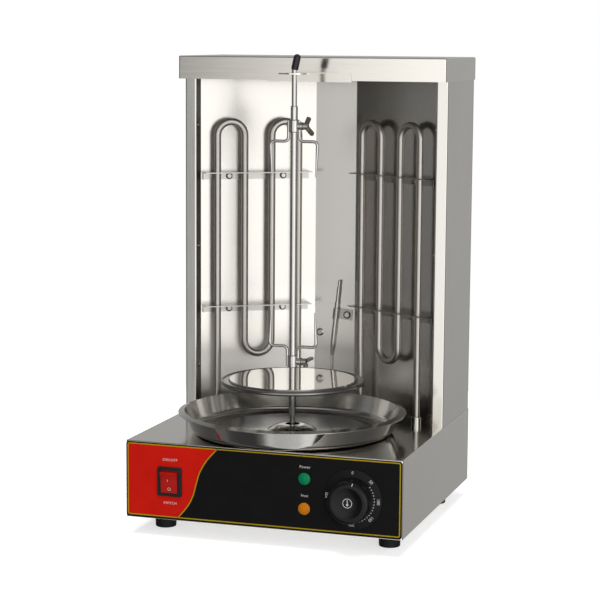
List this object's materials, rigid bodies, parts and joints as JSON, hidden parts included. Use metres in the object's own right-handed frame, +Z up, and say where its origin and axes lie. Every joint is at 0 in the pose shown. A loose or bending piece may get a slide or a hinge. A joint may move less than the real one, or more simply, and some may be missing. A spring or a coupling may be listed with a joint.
{
  "type": "vertical rotisserie grill",
  "caption": "Tabletop vertical doner grill: steel base with controls, heated cabinet, turning spit with forks over a drip pan.",
  "frame": {"origin": "bottom centre of the whole grill, on the plane of the feet", "axes": "+Z up along the spit, +X to the right seen from the front, the control panel faces -Y"},
  "size_m": [0.2906, 0.3226, 0.4858],
  "materials": {
    "housing_steel": "brushed stainless sheet",
    "reflector_steel": "bright rolled stainless sheet",
    "bracket_steel": "plain stainless sheet",
    "panel_film": "printed film, black with a red field and a yellow line",
    "foot_rubber": "matte moulded",
    "screw_steel": "bright plated",
    "element_alloy": "dull heat proof alloy",
    "ferrule_steel": "turned",
    "bush_brass": "turned",
    "bulb_metal": "plated copper",
    "pan_steel": "bright spun stainless sheet",
    "plate_steel": "mirror polished",
    "spit_steel": "polished",
    "grip_plastic": "moulded",
    "motor_paint": "satin",
    "switch_plastic": "fine grained",
    "power_lens": "clear moulded",
    "heat_lens": "clear moulded",
    "inner_plastic": "moulded",
    "dial_plastic": "satin with printed marks",
    "rocker_red": "fine grained",
    "knob_plastic": "fine grained"
  },
  "bodies": {
    "housing": {"back_panel": "housing_steel", "base_shell": "housing_steel", "bottom_plate": "housing_steel", "bracket_screws": "screw_steel", "bulb_clip": "bracket_steel", "capillary_tube": "bulb_metal", "control_panel": "panel_film", "cord_gland": "inner_plastic", "dial_ring": "dial_plastic", "foot_back_left": "foot_rubber", "foot_back_right": "foot_rubber", "foot_front_left": "foot_rubber", "foot_front_right": "foot_rubber", "foot_screws": "screw_steel", "gear_motor": "motor_paint", "gland_nut": "inner_plastic", "heat_lamp": "heat_lens", "heat_reflector": "reflector_steel", "lamp_nuts": "inner_plastic", "left_element": "element_alloy", "left_element_ferrules": "ferrule_steel", "left_side_panel": "housing_steel", "lower_left_bracket": "bracket_steel", "lower_right_bracket": "bracket_steel", "motor_plate": "motor_paint", "motor_standoffs": "screw_steel", "post_screws": "screw_steel", "power_lamp": "power_lens", "probe_screws": "screw_steel", "right_element": "element_alloy", "right_element_ferrules": "ferrule_steel", "right_side_panel": "housing_steel", "shaft_bush": "bush_brass", "spit_holder": "housing_steel", "switch_body": "switch_plastic", "terminal_block": "inner_plastic", "thermostat_body": "inner_plastic", "thermostat_bulb": "bulb_metal", "thermostat_nut": "screw_steel", "top_lid": "housing_steel", "upper_left_bracket": "bracket_steel", "upper_right_bracket": "bracket_steel"},
    "drive": {"drive_shaft": "spit_steel"},
    "spit": {"spit_tube": "spit_steel", "meat_plate": "plate_steel", "plate_collar": "plate_steel"},
    "pin": {"top_pin": "spit_steel", "pin_grip": "grip_plastic"},
    "upper_fork_body": {"upper_fork": "spit_steel"},
    "lower_fork_body": {"lower_fork": "spit_steel"},
    "upper_wing": {"upper_wing_screw": "screw_steel"},
    "lower_wing": {"lower_wing_screw": "screw_steel"},
    "pan": {"drip_pan": "pan_steel"},
    "dial": {"knob": "knob_plastic", "thermostat_shaft": "spit_steel"},
    "rocker": {"rocker_button": "rocker_red"}
  },
  "joints": [
    {"name": "spit_turn", "type": "hinge", "parent": "housing", "child": "drive", "pos_m": [0, -0.043, 0.11], "axis": [0, 0, 1], "continuous": true},
    {"name": "spit_lift", "type": "slide", "parent": "drive", "child": "spit", "axis": [0, 0, 1], "range_m": [0, 0.014]},
    {"name": "pin_lift", "type": "slide", "parent": "housing", "child": "pin", "axis": [0, 0, 1], "range_m": [0, 0.03]},
    {"name": "upper_fork_slide", "type": "slide", "parent": "spit", "child": "upper_fork_body", "axis": [0, 0, 1], "range_m": [-0.1, 0]},
    {"name": "lower_fork_slide", "type": "slide", "parent": "spit", "child": "lower_fork_body", "axis": [0, 0, 1], "range_m": [0, 0.03]},
    {"name": "upper_wing_turn", "type": "hinge", "parent": "upper_fork_body", "child": "upper_wing", "pos_m": [0.0098, -0.043, 0.4133], "axis": [1, 0, 0], "range_deg": [0, 360]},
    {"name": "lower_wing_turn", "type": "hinge", "parent": "lower_fork_body", "child": "lower_wing", "pos_m": [0.0098, -0.043, 0.1714], "axis": [1, 0, 0], "range_deg": [0, 360]},
    {"name": "knob_turn", "type": "hinge", "parent": "housing", "child": "dial", "pos_m": [0.0945, -0.15, 0.056], "axis": [0, 1, 0], "range_deg": [0, 273]},
    {"name": "rocker_tip", "type": "hinge", "parent": "housing", "child": "rocker", "pos_m": [-0.0971, -0.1415, 0.0585], "axis": [1, 0, 0], "range_deg": [-22, 0]},
    {"name": "pan_lift", "type": "slide", "parent": "housing", "child": "pan", "axis": [0, 0, 1], "range_m": [0, 0.025]}
  ]
}
